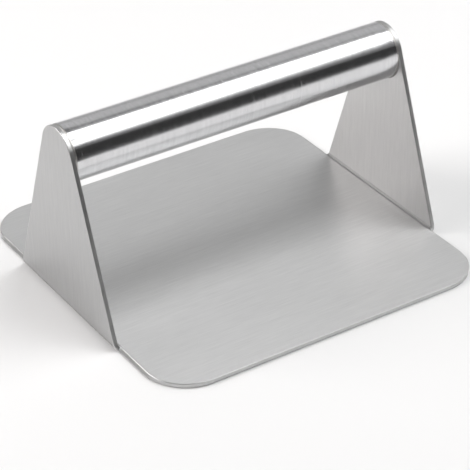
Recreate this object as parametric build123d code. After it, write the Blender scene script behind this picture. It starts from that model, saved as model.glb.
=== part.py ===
from build123d import *
import os
from math import acos, atan2, cos, hypot, sin

# A hand press for a griddle: one folded sheet with a tube welded between its uprights.
# Frame: X runs along the handle, Y from front to back, Z up. The origin is the centre
# of the pressing face, which is the underside of the plate.

# Driving dimensions, in millimetres.
plate_width = 140.0  # X, between the inner faces of the uprights
plate_depth = 140.0  # Y
plate_corner_radius = 18.0
sheet_thickness = 1.8
bend_inner_radius = 1.2
upright_root_length = 69.5  # along the bend
root_fillet_radius = 1.0  # in the corner between an upright's edge and the plate's edge
handle_axis_height = 65.0  # above the pressing face
handle_diameter = 22.0
handle_wall = 1.2
weld_groove = 0.6  # the chamfer on each end of the tube, which the weld fills

# Worked out from them.
half_width = plate_width / 2
half_root = upright_root_length / 2
handle_radius = handle_diameter / 2
upright_top_radius = handle_radius  # the tube and the uprights' round tops are dressed flush
bend_outer_radius = bend_inner_radius + sheet_thickness
bend_axis = (half_width - bend_inner_radius, sheet_thickness + bend_inner_radius)  # X and Z
upright_outer_x = half_width + sheet_thickness
overall_height = handle_axis_height + upright_top_radius


def bent_strip():
    """The right edge of the sheet before its outline is cut: a quarter bend, then straight up."""
    bend_x, bend_z = bend_axis
    with BuildPart() as strip:
        with BuildSketch(Plane.XZ):
            with BuildLine():
                CenterArc(bend_axis, bend_outer_radius, -90, 90)
                Line((upright_outer_x, bend_z), (upright_outer_x, overall_height))
                Line((upright_outer_x, overall_height), (half_width, overall_height))
                Line((half_width, overall_height), (half_width, bend_z))
                CenterArc(bend_axis, bend_inner_radius, -90, 90)
                Line((bend_x, sheet_thickness), (bend_x, 0))
            make_face()
        extrude(amount=half_root + root_fillet_radius, both=True)
    return strip.part


def upright_outline():
    """An upright's outline, seen along the handle: straight sides tangent to a round top."""
    rise = handle_axis_height - sheet_thickness
    reach = hypot(half_root, rise)
    # The angle, above the level, of the radius that ends where a side touches the round top.
    touch = acos(upright_top_radius / reach) - atan2(rise, half_root)
    touch_y = upright_top_radius * cos(touch)
    touch_z = handle_axis_height + upright_top_radius * sin(touch)
    with BuildPart() as outline:
        with BuildSketch(Plane.YZ):
            with BuildLine():
                Line((-half_root, 0), (-half_root, sheet_thickness))
                Line((-half_root, sheet_thickness), (-touch_y, touch_z))
                ThreePointArc((-touch_y, touch_z), (0, overall_height), (touch_y, touch_z))
                Line((touch_y, touch_z), (half_root, sheet_thickness))
                Line((half_root, sheet_thickness), (half_root, 0))
                Line((half_root, 0), (-half_root, 0))
            make_face()
        extrude(amount=plate_width)
    return outline.part


def root_fillet():
    """The small hollow corner between the right upright's back edge and the plate's edge."""
    end_x = half_width + root_fillet_radius
    end_y = half_root + root_fillet_radius
    with BuildPart() as corner:
        with BuildSketch():
            with BuildLine():
                Line((half_width, half_root), (end_x, half_root))
                CenterArc((end_x, end_y), root_fillet_radius, 180, 90)
                Line((half_width, end_y), (half_width, half_root))
            make_face()
        extrude(amount=sheet_thickness)
    return corner.part


def flat_strip(width):
    """A piece of the flat plate, as long as an upright's root and centred on the plate."""
    return Box(
        width,
        upright_root_length,
        sheet_thickness,
        align=(Align.CENTER, Align.CENTER, Align.MIN),
    )


def folded_sheet():
    """The plate and both uprights, one piece of sheet: the uprights are bent up from its sides."""
    with BuildPart() as plate:
        with BuildSketch():
            RectangleRounded(plate_width, plate_depth, plate_corner_radius)
        extrude(amount=sheet_thickness)
    corner = root_fillet()
    right = bent_strip() & (upright_outline() + corner + corner.mirror(Plane.XZ))
    left = right.mirror(Plane.YZ)
    bend_zones = flat_strip(plate_width) - flat_strip(2 * bend_axis[0])
    return plate.part - bend_zones + right + left


def handle_tube():
    """A round tube as long as the gap between the uprights, with both ends chamfered."""
    bar = Cylinder(handle_radius, plate_width, rotation=(0, 90, 0))
    outer = chamfer(bar.edges().filter_by(GeomType.CIRCLE), weld_groove)
    inner = Cylinder(handle_radius - handle_wall, plate_width, rotation=(0, 90, 0))
    return Pos(0, 0, handle_axis_height) * (outer - inner)


def weld_seam():
    """The groove weld round the tube's right end: it fills the chamfer, flush with the tube."""
    toe_x = half_width - weld_groove
    root_radius = handle_radius - weld_groove
    with BuildPart() as seam:
        with BuildSketch():
            with BuildLine():
                Line((half_width, handle_radius), (toe_x, handle_radius))
                Line((toe_x, handle_radius), (half_width, root_radius))
                Line((half_width, root_radius), (half_width, handle_radius))
            make_face()
        revolve(axis=Axis.X)
    return Pos(0, 0, handle_axis_height) * seam.part


right_seam = weld_seam()
nodes = {
    "folded_sheet": folded_sheet(),
    "handle_tube": handle_tube(),
    "left_weld_seam": right_seam.mirror(Plane.YZ),
    "right_weld_seam": right_seam,
}

os.makedirs("parts", exist_ok=True)
for name, shape in nodes.items():
    export_step(shape, f"parts/{name}.step")
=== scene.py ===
from math import atan2, asin, cos, hypot, pi, radians, sin, tan

import bmesh
import bpy
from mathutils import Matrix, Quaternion, Vector


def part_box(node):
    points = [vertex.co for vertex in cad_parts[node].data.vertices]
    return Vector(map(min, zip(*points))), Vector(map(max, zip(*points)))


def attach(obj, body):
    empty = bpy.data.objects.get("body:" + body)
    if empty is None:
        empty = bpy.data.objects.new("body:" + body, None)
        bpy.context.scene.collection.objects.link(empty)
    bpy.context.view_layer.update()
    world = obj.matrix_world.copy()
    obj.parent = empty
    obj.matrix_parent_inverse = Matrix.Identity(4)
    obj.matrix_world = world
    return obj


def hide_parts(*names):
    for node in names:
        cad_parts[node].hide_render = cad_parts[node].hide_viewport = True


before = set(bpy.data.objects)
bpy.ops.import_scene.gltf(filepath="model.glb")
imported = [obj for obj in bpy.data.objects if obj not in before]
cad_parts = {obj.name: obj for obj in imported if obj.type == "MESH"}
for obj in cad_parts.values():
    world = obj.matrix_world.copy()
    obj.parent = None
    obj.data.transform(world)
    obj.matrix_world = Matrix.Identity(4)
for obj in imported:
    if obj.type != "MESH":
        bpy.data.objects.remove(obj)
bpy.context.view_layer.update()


# ---- The folded sheet ------------------------------------------------------------------
# One piece of 1.8 mm stainless sheet, brushed one way before it was cut. A laser cut it to
# a square with a tongue on two sides, and a press brake bent both tongues up to carry the
# handle. The cut edges are tumbled, which leaves them with a small soft radius.

tube_low, tube_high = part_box("handle_tube")
sheet_low, sheet_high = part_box("folded_sheet")

inner_face_x = tube_high.x  # the tube fills the gap between the uprights
sheet_thickness = sheet_high.x - inner_face_x
plate_half_depth = sheet_high.y
handle_axis_z = (tube_low.z + tube_high.z) / 2
handle_radius = (tube_high.z - tube_low.z) / 2
upright_top_radius = sheet_high.z - handle_axis_z

plate_corner_radius = 0.018
root_half_length = 0.03475  # half of an upright's length where it leaves the plate's top
root_fillet_radius = 0.001
bend_inner_radius = 0.0012
edge_radius = 0.0003
bend_rows = 10  # strips of faces round each bend
grid = 0.01  # spacing of the lines that divide the flat faces
grid_rows = 6  # how many of those lines lie each side of the middle, and on each upright

# The bend starts a little inside the plate's edge. Its length in the flat blank is taken
# halfway through the sheet, where the metal neither stretches nor shrinks.
bend_start = inner_face_x - bend_inner_radius
bend_axis_z = sheet_thickness + bend_inner_radius
bend_neutral_radius = bend_inner_radius + sheet_thickness / 2
bend_length = bend_neutral_radius * pi / 2


def blank_position(height):
    """How far from the blank's middle a point lies that ends up at this height on an upright."""
    return bend_start + bend_length + height - bend_axis_z


def fold(along, across, height):
    """Where a point of the flat blank lies once its tongues are bent up."""
    side = 1 if along > 0 else -1
    past = abs(along) - bend_start
    if past <= 0:
        return Vector((along, across, height))
    turn = min(past / bend_neutral_radius, pi / 2)
    radius = bend_inner_radius + sheet_thickness - height
    straight = max(past - bend_length, 0)
    x = bend_start + radius * sin(turn)
    z = bend_axis_z - radius * cos(turn) + straight
    return Vector((side * x, across, z))


def rounded_outline(corners, arc_step):
    """Points round a closed outline and the outward direction at each.

    Each corner is a place and the radius that rounds it; the outline runs anticlockwise.
    """
    points = []
    for index, (here, radius) in enumerate(corners):
        arriving = (here - corners[index - 1][0]).normalized()
        leaving = (corners[(index + 1) % len(corners)][0] - here).normalized()
        turn = atan2(arriving.cross(leaving), arriving.dot(leaving))
        start = here - arriving * radius * tan(abs(turn) / 2)
        bulge = 1 if turn > 0 else -1
        centre = start - Vector((arriving.y, -arriving.x)) * radius * bulge
        steps = max(3, round(abs(turn) / arc_step))
        for step in range(steps + 1):
            angle = turn * step / steps
            heading = Vector((
                arriving.x * cos(angle) - arriving.y * sin(angle),
                arriving.x * sin(angle) + arriving.y * cos(angle),
            ))
            outward = Vector((heading.y, -heading.x))
            points.append((centre + outward * radius * bulge, outward))
    return points


def blank_corners():
    """The corners of the flat blank: the plate's four, and for each tongue two roots and a tip."""
    rise = handle_axis_z - sheet_thickness
    lean = atan2(root_half_length, rise) - asin(upright_top_radius / hypot(root_half_length, rise))
    root_along = blank_position(sheet_thickness)
    tip_along = root_along + root_half_length / tan(lean)
    root_at_edge = root_half_length + (root_along - inner_face_x) * tan(lean)
    right_side = [
        (Vector((inner_face_x, -plate_half_depth)), plate_corner_radius),
        (Vector((inner_face_x, -root_at_edge)), root_fillet_radius),
        (Vector((tip_along, 0)), upright_top_radius),
        (Vector((inner_face_x, root_at_edge)), root_fillet_radius),
        (Vector((inner_face_x, plate_half_depth)), plate_corner_radius),
    ]
    return right_side + [(-place, radius) for place, radius in right_side]


def edge_profile(steps):
    """Inset from the cut edge, and height, from the underside round the edge to the top."""
    quarter = [radians(90) * step / steps for step in range(steps + 1)]
    lower = [(edge_radius * (1 - sin(a)), edge_radius * (1 - cos(a))) for a in quarter]
    upper = [(inset, sheet_thickness - height) for inset, height in reversed(lower)]
    return lower + upper


def sheet_mesh():
    """The blank as a closed solid with soft edges, cut by rows of lines and then folded."""
    outline = rounded_outline(blank_corners(), arc_step=radians(4))
    profile = edge_profile(steps=4)
    mesh = bmesh.new()
    grain = mesh.loops.layers.uv.new("grain")
    rings = [
        [mesh.verts.new((*(place - outward * inset), height)) for place, outward in outline]
        for inset, height in profile
    ]
    run = [0.0]
    for (place, _), (after, _) in zip(outline, outline[1:] + outline[:1]):
        run.append(run[-1] + (after - place).length)
    rise = [0.0]
    for (inset, height), (inset_after, height_after) in zip(profile, profile[1:]):
        rise.append(rise[-1] + hypot(inset_after - inset, height_after - height))
    count = len(outline)
    for level, (lower, upper) in enumerate(zip(rings, rings[1:])):
        for i in range(count):
            j = (i + 1) % count
            face = mesh.faces.new((lower[i], lower[j], upper[j], upper[i]))
            face.material_index = 1
            places = (
                (run[i], rise[level]),
                (run[i + 1], rise[level]),
                (run[i + 1], rise[level + 1]),
                (run[i], rise[level + 1]),
            )
            for loop, place in zip(face.loops, places):
                loop[grain].uv = place
    for face in (mesh.faces.new(rings[-1]), mesh.faces.new(reversed(rings[0]))):
        for loop in face.loops:
            loop[grain].uv = (loop.vert.co.y, loop.vert.co.x)

    def cut(axis, place):
        direction = Vector((axis == "x", axis == "y", 0))
        bmesh.ops.bisect_plane(
            mesh,
            geom=mesh.verts[:] + mesh.edges[:] + mesh.faces[:],
            dist=1e-7,
            plane_co=direction * place,
            plane_no=direction,
        )

    for row in range(bend_rows + 1):
        for side in (-1, 1):
            cut("x", side * (bend_start + bend_length * row / bend_rows))
    for row in range(-grid_rows, grid_rows + 1):
        cut("x", row * grid)
        cut("y", row * grid)
    for row in range(1, grid_rows + 1):
        for side in (-1, 1):
            cut("x", side * blank_position(bend_axis_z + row * grid))
    for vert in mesh.verts:
        vert.co = fold(*vert.co)
    for face in mesh.faces:
        face.smooth = True
    data = bpy.data.meshes.new("folded_sheet_metal")
    mesh.to_mesh(data)
    mesh.free()
    return data


def linked(nodes, kind, **values):
    """A shader node with some of its inputs and settings filled in."""
    node = nodes.new(kind)
    for name, value in values.items():
        if name in node.inputs:
            node.inputs[name].default_value = value
        else:
            setattr(node, name, value)
    return node


def steel_shader(name, anisotropy):
    """Bare metal without a finish yet: its tree, its shader, and its unwrapped grain coordinates."""
    material = bpy.data.materials.new(name)
    material.use_nodes = True
    tree = material.node_tree
    shader = tree.nodes["Principled BSDF"]
    shader.inputs["Metallic"].default_value = 1.0
    shader.inputs["Anisotropic"].default_value = anisotropy
    coords = linked(tree.nodes, "ShaderNodeUVMap", uv_map="grain")
    tangent = linked(tree.nodes, "ShaderNodeTangent", direction_type="UV_MAP", uv_map="grain")
    tree.links.new(tangent.outputs["Tangent"], shader.inputs["Tangent"])
    return material, tree, shader, coords


def streaks(tree, coords, across, along, detail=2.0, roughness=0.5):
    """Noise drawn out along the grain: across and along are how many marks fit in a metre."""
    stretch = linked(tree.nodes, "ShaderNodeMapping")
    stretch.inputs["Scale"].default_value = (across, along, 1)
    noise = linked(tree.nodes, "ShaderNodeTexNoise", Scale=1.0, Detail=detail, Roughness=roughness)
    tree.links.new(coords.outputs["UV"], stretch.inputs["Vector"])
    tree.links.new(stretch.outputs["Vector"], noise.inputs["Vector"])
    return noise.outputs["Fac"]


def ranged(tree, value, low, high, from_low=0.3, from_high=0.7):
    """A value moved from one range to another; noise mostly lies between 0.3 and 0.7."""
    node = linked(tree.nodes, "ShaderNodeMapRange")
    node.inputs["From Min"].default_value = from_low
    node.inputs["From Max"].default_value = from_high
    node.inputs["To Min"].default_value = low
    node.inputs["To Max"].default_value = high
    tree.links.new(value, node.inputs["Value"])
    return node.outputs["Result"]


def combined(tree, operation, first, second):
    """Two values put through one arithmetic step; the second may be a plain number."""
    node = linked(tree.nodes, "ShaderNodeMath", operation=operation)
    for socket, value in zip(node.inputs, (first, second)):
        if isinstance(value, (int, float)):
            socket.default_value = value
        else:
            tree.links.new(value, socket)
    return node.outputs["Value"]


def tinted(tree, value, dark, light):
    """A colour between two shades, chosen by a value from 0 to 1."""
    ramp = linked(tree.nodes, "ShaderNodeValToRGB")
    ramp.color_ramp.elements[0].color = (*dark, 1)
    ramp.color_ramp.elements[1].color = (*light, 1)
    tree.links.new(value, ramp.inputs["Fac"])
    return ramp.outputs["Color"]


def raised(tree, shader, height, distance):
    """Relief on the surface, from a height of 0 to 1 times a distance in metres."""
    bump = linked(tree.nodes, "ShaderNodeBump", Strength=1.0, Distance=distance)
    tree.links.new(height, bump.inputs["Height"])
    tree.links.new(bump.outputs["Normal"], shader.inputs["Normal"])


painted_bend_share = 0.4  # how much of its colour the metal keeps in the middle of a bend, where shade is painted in


def painted_bend_shade(tree, coords):
    """The metal's share of its shade: less along each bend, so that each shows as a dark line.

    The line is painted shade, put into the metal's colour. It isn't worn metal, and no shadow is cast
    there: under these lights alone, the bend inside the right upright shines instead.
    """
    blank = linked(tree.nodes, "ShaderNodeSeparateXYZ")
    tree.links.new(coords.outputs["UV"], blank.inputs["Vector"])
    from_middle = combined(tree, "ABSOLUTE", blank.outputs["Y"], 0)
    bend_middle = bend_start + bend_length / 2
    off_bend = combined(tree, "ABSOLUTE", combined(tree, "SUBTRACT", from_middle, bend_middle), 0)
    in_bend = ranged(tree, off_bend, painted_bend_share, 1, from_low=0, from_high=bend_length / 2)
    from_centre = combined(tree, "ABSOLUTE", blank.outputs["X"], 0)
    root_end = root_half_length + root_fillet_radius
    past_root = ranged(tree, from_centre, 0, 1, from_low=root_half_length, from_high=root_end)
    return combined(tree, "MAXIMUM", in_bend, past_root)


def brushed_sheet():
    """Satin sheet: short fine belt marks, some longer ones, and a faint slow change of gloss."""
    material, tree, shader, coords = steel_shader("brushed_sheet", anisotropy=0.82)
    fine = streaks(tree, coords, across=2600, along=110, detail=3)
    belt = streaks(tree, coords, across=800, along=30, detail=2)
    cloud = streaks(tree, coords, across=40, along=40, detail=3)
    fine_share = combined(tree, "MULTIPLY", fine, 0.6)
    marks = combined(tree, "ADD", fine_share, combined(tree, "MULTIPLY", belt, 0.4))
    shaded = linked(tree.nodes, "ShaderNodeVectorMath", operation="SCALE")
    tree.links.new(
        tinted(tree, ranged(tree, marks, 0, 1), (0.53, 0.53, 0.532), (0.61, 0.61, 0.608)),
        shaded.inputs["Vector"],
    )
    # Painted shade: the sheet's colour is darkened along each bend.
    tree.links.new(painted_bend_shade(tree, coords), shaded.inputs["Scale"])
    tree.links.new(shaded.outputs["Vector"], shader.inputs["Base Color"])
    worn = combined(tree, "ADD", ranged(tree, marks, 0.41, 0.47), ranged(tree, cloud, -0.01, 0.01))
    tree.links.new(worn, shader.inputs["Roughness"])
    raised(tree, shader, marks, distance=0.000006)
    return material


def cut_edge():
    """The laser's cut, tumbled smooth: faint lines across the thickness, and slow changes of shade."""
    material, tree, shader, coords = steel_shader("cut_edge", anisotropy=0.3)
    lines = streaks(tree, coords, across=900, along=200, detail=2)
    patches = streaks(tree, coords, across=120, along=60, detail=2)
    tree.links.new(
        tinted(tree, ranged(tree, patches, 0, 1), (0.5, 0.5, 0.5), (0.6, 0.6, 0.595)),
        shader.inputs["Base Color"],
    )
    tree.links.new(ranged(tree, lines, 0.3, 0.38), shader.inputs["Roughness"])
    raised(tree, shader, lines, distance=0.0000005)
    return material


folded_sheet = bpy.data.objects.new("folded_sheet_metal", sheet_mesh())
folded_sheet.data.materials.append(brushed_sheet())
folded_sheet.data.materials.append(cut_edge())
bpy.context.scene.collection.objects.link(folded_sheet)
folded_sheet.modifiers.new("flat faces stay flat", "WEIGHTED_NORMAL")
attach(folded_sheet, "root")
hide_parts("folded_sheet")


# ---- The handle ------------------------------------------------------------------------
# A round stainless tube with a thin wall, as long as the gap between the uprights. Its ends
# are chamfered for the welds. It was turned against a fine belt, so its marks run round it.

tube_wall = 0.0012
weld_groove = 0.0006  # the chamfer on each end, which the weld fills
tube_facets = 128  # faces round the tube
tube_stations = 24  # faces along it


def turned_mesh(name, section, turns, wobble=None):
    """A closed ring of metal: a section of (x, radius) points swept round the handle's axis."""
    mesh = bmesh.new()
    grain = mesh.loops.layers.uv.new("grain")
    rings = []
    sweep = 2 * pi * handle_radius / turns  # one face's length round the tube
    for turn in range(turns):
        angle = 2 * pi * turn / turns
        ring = []
        for index, (x, radius) in enumerate(section):
            if wobble:
                x, radius = wobble(index, x, radius, angle)
            ring.append(mesh.verts.new((x, radius * sin(angle), handle_axis_z + radius * cos(angle))))
        rings.append(ring)
    for turn in range(turns):
        near, far = rings[turn], rings[(turn + 1) % turns]
        for i in range(len(section)):
            j = (i + 1) % len(section)
            face = mesh.faces.new((near[i], near[j], far[j], far[i]))
            face.smooth = True
            places = ((i, turn), (j, turn), (j, turn + 1), (i, turn + 1))
            for loop, (point, step) in zip(face.loops, places):
                loop[grain].uv = (section[point][0], step * sweep)
    bmesh.ops.recalc_face_normals(mesh, faces=mesh.faces[:])
    data = bpy.data.meshes.new(name)
    mesh.to_mesh(data)
    mesh.free()
    return data


def tube_section():
    """One chamfer, the outer wall, the other chamfer, and the bore back again."""
    first = tube_low.x + weld_groove
    length = tube_high.x - weld_groove - first
    places = [first + length * step / tube_stations for step in range(tube_stations + 1)]
    wall = [(x, handle_radius) for x in places]
    outer = [
        (tube_low.x, handle_radius - weld_groove),
        *wall,
        (tube_high.x, handle_radius - weld_groove),
    ]
    inner = [(x, handle_radius - tube_wall) for x, _ in reversed(outer)]
    return outer + inner


def brushed_tube():
    """Fine marks round the tube, so that what it mirrors is drawn out along it and crisp across."""
    material, tree, shader, coords = steel_shader("brushed_tube", anisotropy=0.85)
    rings = streaks(tree, coords, across=1900, along=70, detail=4, roughness=0.65)
    bands = streaks(tree, coords, across=500, along=25, detail=2)
    tree.links.new(
        tinted(tree, ranged(tree, rings, 0, 1), (0.62, 0.62, 0.632), (0.78, 0.78, 0.79)),
        shader.inputs["Base Color"],
    )
    worn = combined(tree, "ADD", ranged(tree, rings, 0.17, 0.27), ranged(tree, bands, -0.02, 0.02))
    tree.links.new(worn, shader.inputs["Roughness"])
    raised(tree, shader, rings, distance=0.000009)
    return material


handle_mesh = turned_mesh("handle_tube_metal", tube_section(), tube_facets)
handle = bpy.data.objects.new("handle_tube_metal", handle_mesh)
handle.data.materials.append(brushed_tube())
bpy.context.scene.collection.objects.link(handle)
handle.modifiers.new("chamfers stay crisp", "WEIGHTED_NORMAL")
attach(handle, "root")
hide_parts("handle_tube")


# ---- The two welds ---------------------------------------------------------------------
# Each end of the tube is welded to its upright all the way round. On top the seam is dressed
# flush with both. Underneath, where the belt can't reach, a thin rippled bead is left.

bead_height = 0.0004  # how far the undressed bead stands out of the corner
bead_spread = 0.0003  # how far it runs onto the tube beside the groove
weld_sink = 0.0001  # how far the seam is melted into the tube and the upright
bead_start = 1.15  # how far down the tube the bead starts, in radii below the tube's top
bead_fade = 0.35  # over how many more radii down it grows to its full size
ripple_count = 64
face_points = 7  # points across the seam's face
weld_facets = 360  # faces round the seam


def weld_metal():
    """Melted and dressed steel: a little darker than the sheet, with a trace of straw colour."""
    material, tree, shader, coords = steel_shader("weld_metal", anisotropy=0.0)
    grit = streaks(tree, coords, across=3000, along=900, detail=3)
    tint = streaks(tree, coords, across=80, along=120, detail=2)
    tree.links.new(
        tinted(tree, ranged(tree, tint, 0, 1), (0.46, 0.45, 0.44), (0.56, 0.55, 0.53)),
        shader.inputs["Base Color"],
    )
    tree.links.new(ranged(tree, grit, 0.28, 0.42), shader.inputs["Roughness"])
    raised(tree, shader, grit, distance=0.00001)
    return material


def weld_section(side):
    """The seam across: its flush face from the tube to the upright, then the groove it fills."""
    face_x = side * inner_face_x
    toe_x = face_x - side * weld_groove
    face = [
        (toe_x + (face_x - toe_x) * step / (face_points - 1), handle_radius)
        for step in range(face_points)
    ]
    groove = [
        (face_x + side * weld_sink, handle_radius - weld_sink),
        (face_x + side * weld_sink, handle_radius - weld_groove - weld_sink),
        (toe_x, handle_radius - weld_sink),
    ]
    return face + groove


def undressed(angle):
    """0 over the top of the tube, where the seam is dressed, and 1 round its underside."""
    below_top = 1 - cos(angle)
    clear = min(max((below_top - bead_start) / bead_fade, 0), 1)
    return clear * clear * (3 - 2 * clear)


def rippled(side):
    """The bead that is left underneath, with ripples as the weld was laid round the tube."""
    face_x = side * inner_face_x

    def move(index, x, radius, angle):
        if index >= face_points:
            return x, radius
        along = index / (face_points - 1)
        # Ripples at slightly uneven spacing, on a bead whose size drifts slowly round the tube.
        scallop = abs(sin(angle * ripple_count / 2 + 0.7 * sin(5 * angle)))
        drift = 0.12 * sin(3 * angle + side) + 0.08 * sin(7 * angle + 2 * side)
        size = undressed(angle) * (0.85 + drift + 0.2 * (scallop - 0.6))
        swell = along * (0.55 + 0.45 * along)
        return x - side * bead_spread * size * (1 - along), radius + bead_height * size * swell

    return move


weld_material = weld_metal()
for side, node in ((-1, "left_weld_seam"), (1, "right_weld_seam")):
    name = node + "_metal"
    seam_mesh = turned_mesh(name, weld_section(side), weld_facets, rippled(side))
    seam = bpy.data.objects.new(name, seam_mesh)
    seam.data.materials.append(weld_material)
    bpy.context.scene.collection.objects.link(seam)
    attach(seam, "root")
    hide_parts(node)


# ---- The table -------------------------------------------------------------------------
# A plain pale tabletop that the press stands on, four metres wide each side of it. It is
# painted matt, so it takes a soft shadow from the press and no mirror image.

floor_half_size = 4.0
floor_drop = 0.00002  # keeps the tabletop just clear of the pressing face
floor_z = sheet_low.z - floor_drop


def pale_paint():
    """Matt off-white paint with a very slight change of shade."""
    material = bpy.data.materials.new("pale_paint")
    material.use_nodes = True
    tree = material.node_tree
    shader = tree.nodes["Principled BSDF"]
    shader.inputs["Roughness"].default_value = 0.85
    shader.inputs["Specular IOR Level"].default_value = 0.2
    place = linked(tree.nodes, "ShaderNodeTexCoord")
    noise = linked(tree.nodes, "ShaderNodeTexNoise", Scale=3.0, Detail=2.0)
    tree.links.new(place.outputs["Object"], noise.inputs["Vector"])
    tree.links.new(
        tinted(tree, noise.outputs["Fac"], (0.82, 0.82, 0.82), (0.84, 0.84, 0.84)),
        shader.inputs["Base Color"],
    )
    return material


def card(name, corners, material):
    """A flat stage panel."""
    data = bpy.data.meshes.new(name)
    data.from_pydata(corners, [], [range(len(corners))])
    data.materials.append(material)
    panel = bpy.data.objects.new(name, data)
    bpy.context.scene.collection.objects.link(panel)
    return panel


card(
    "tabletop",
    [
        (-floor_half_size, -floor_half_size, floor_z),
        (floor_half_size, -floor_half_size, floor_z),
        (floor_half_size, floor_half_size, floor_z),
        (-floor_half_size, floor_half_size, floor_z),
    ],
    pale_paint(),
)


# ---- The studio light ------------------------------------------------------------------
# Softboxes overhead, above the front, at the right, at the left and at the back left, weak white
# panels behind, and a black card low in front that gives the tube its dark line.

handle_centre = Vector((0, 0, handle_axis_z))


def softbox(name, place, width, height, brightness, shade=(1, 1, 1)):
    """A rectangular light that faces the handle; its brightness is in watts per square metre."""
    light = bpy.data.lights.new(name, "AREA")
    light.shape = "RECTANGLE"
    light.size = width
    light.size_y = height
    light.energy = brightness * width * height
    light.color = shade
    lamp = bpy.data.objects.new(name, light)
    lamp.location = place
    away = Vector(place) - handle_centre
    lamp.rotation_mode = "QUATERNION"
    lamp.rotation_quaternion = away.to_track_quat("Z", "Y")
    bpy.context.scene.collection.objects.link(lamp)
    return lamp


softbox("overhead_softbox", (0.3, -0.07, 0.94), 0.4, 0.42, 13)
softbox("overhead_diffuser", (0.4, -0.22, 0.87), 0.95, 0.78, 1.6)
softbox("front_strip", (0.3, -0.45, 0.78), 0.7, 0.3, 6.2)
softbox("right_softbox", (0.95, -0.1, 0.7), 0.6, 0.7, 7.5)
softbox("back_left_softbox", (-0.8, 0.5, 0.7), 0.8, 0.5, 22, (1, 0.965, 0.95))
softbox("left_softbox", (-1.15, 0.1, 0.6), 0.8, 0.6, 3, (0.92, 0.97, 1))
softbox("back_panel", (0.3, 0.66, 0.6), 1.2, 0.65, 1.2)
softbox("low_back_panel", (0.3, 0.88, 0.17), 1.2, 0.25, 1)

# A weak ceiling light that the metal doesn't mirror. It keeps the tabletop paler further out.
ceiling = softbox("ceiling_light", (0, 0, 3), 8, 8, 0.3)
ceiling.visible_glossy = False


def black_cloth():
    """Matt black cloth for the card."""
    material = bpy.data.materials.new("black_cloth")
    material.use_nodes = True
    shader = material.node_tree.nodes["Principled BSDF"]
    shader.inputs["Base Color"].default_value = (0.02, 0.02, 0.02, 1)
    shader.inputs["Roughness"].default_value = 0.9
    return material


# The card is only there to be mirrored: it isn't seen itself and it throws no shadow.
card_distance = 0.28
card_left = -0.5
card_right = 0.9
card_height = 0.24
slope_start = 0.07  # right of this its lower edge climbs, so the right upright mirrors less of it
slope_end_height = 0.22
front_card = card(
    "black_card",
    [
        (card_left, -card_distance, 0),
        (slope_start, -card_distance, 0),
        (card_right, -card_distance, slope_end_height),
        (card_right, -card_distance, card_height),
        (card_left, -card_distance, card_height),
    ],
    black_cloth(),
)
front_card.visible_camera = False
front_card.visible_diffuse = False
front_card.visible_shadow = False

# The room's walls look white behind the press, but they light and mirror only dimly.
wall_white = 0.88
wall_glow = 0.19
world = bpy.data.worlds.new("studio_room")
world.use_nodes = True
room = world.node_tree
seen_walls = room.nodes["Background"]
seen_walls.inputs["Color"].default_value = (1, 1, 1, 1)
seen_walls.inputs["Strength"].default_value = wall_white
unlit_room = linked(room.nodes, "ShaderNodeBackground", Color=(1, 1, 1, 1), Strength=wall_glow)
ray = linked(room.nodes, "ShaderNodeLightPath")
choice = linked(room.nodes, "ShaderNodeMixShader")
room.links.new(ray.outputs["Is Camera Ray"], choice.inputs["Fac"])
room.links.new(unlit_room.outputs["Background"], choice.inputs[1])
room.links.new(seen_walls.outputs["Background"], choice.inputs[2])
room.links.new(choice.outputs["Shader"], room.nodes["World Output"].inputs["Surface"])
bpy.context.scene.world = world
bpy.context.scene.view_settings.view_transform = "Standard"


# ---- The camera ------------------------------------------------------------------------
# A long lens at the front left, 32 degrees above the table, tipped a degree to one side.

view_turn = radians(-32.39)
view_lift = radians(32.49)
view_roll = radians(-0.97)
view_distance = 0.8272
view_aim = Vector((0.0064, 0.0069, 0))
sensor_width = 36  # millimetres, as is the lens
lens_length = 163.4

camera = bpy.data.objects.new("camera", bpy.data.cameras.new("camera"))
camera.data.sensor_width = sensor_width
camera.data.lens = lens_length
back = Vector((sin(view_turn) * cos(view_lift), -cos(view_turn) * cos(view_lift), sin(view_lift)))
camera.location = view_aim + back * view_distance
camera.rotation_mode = "QUATERNION"
camera.rotation_quaternion = (-back).to_track_quat("-Z", "Y") @ Quaternion((0, 0, 1), view_roll)
bpy.context.scene.collection.objects.link(camera)
bpy.context.scene.camera = camera
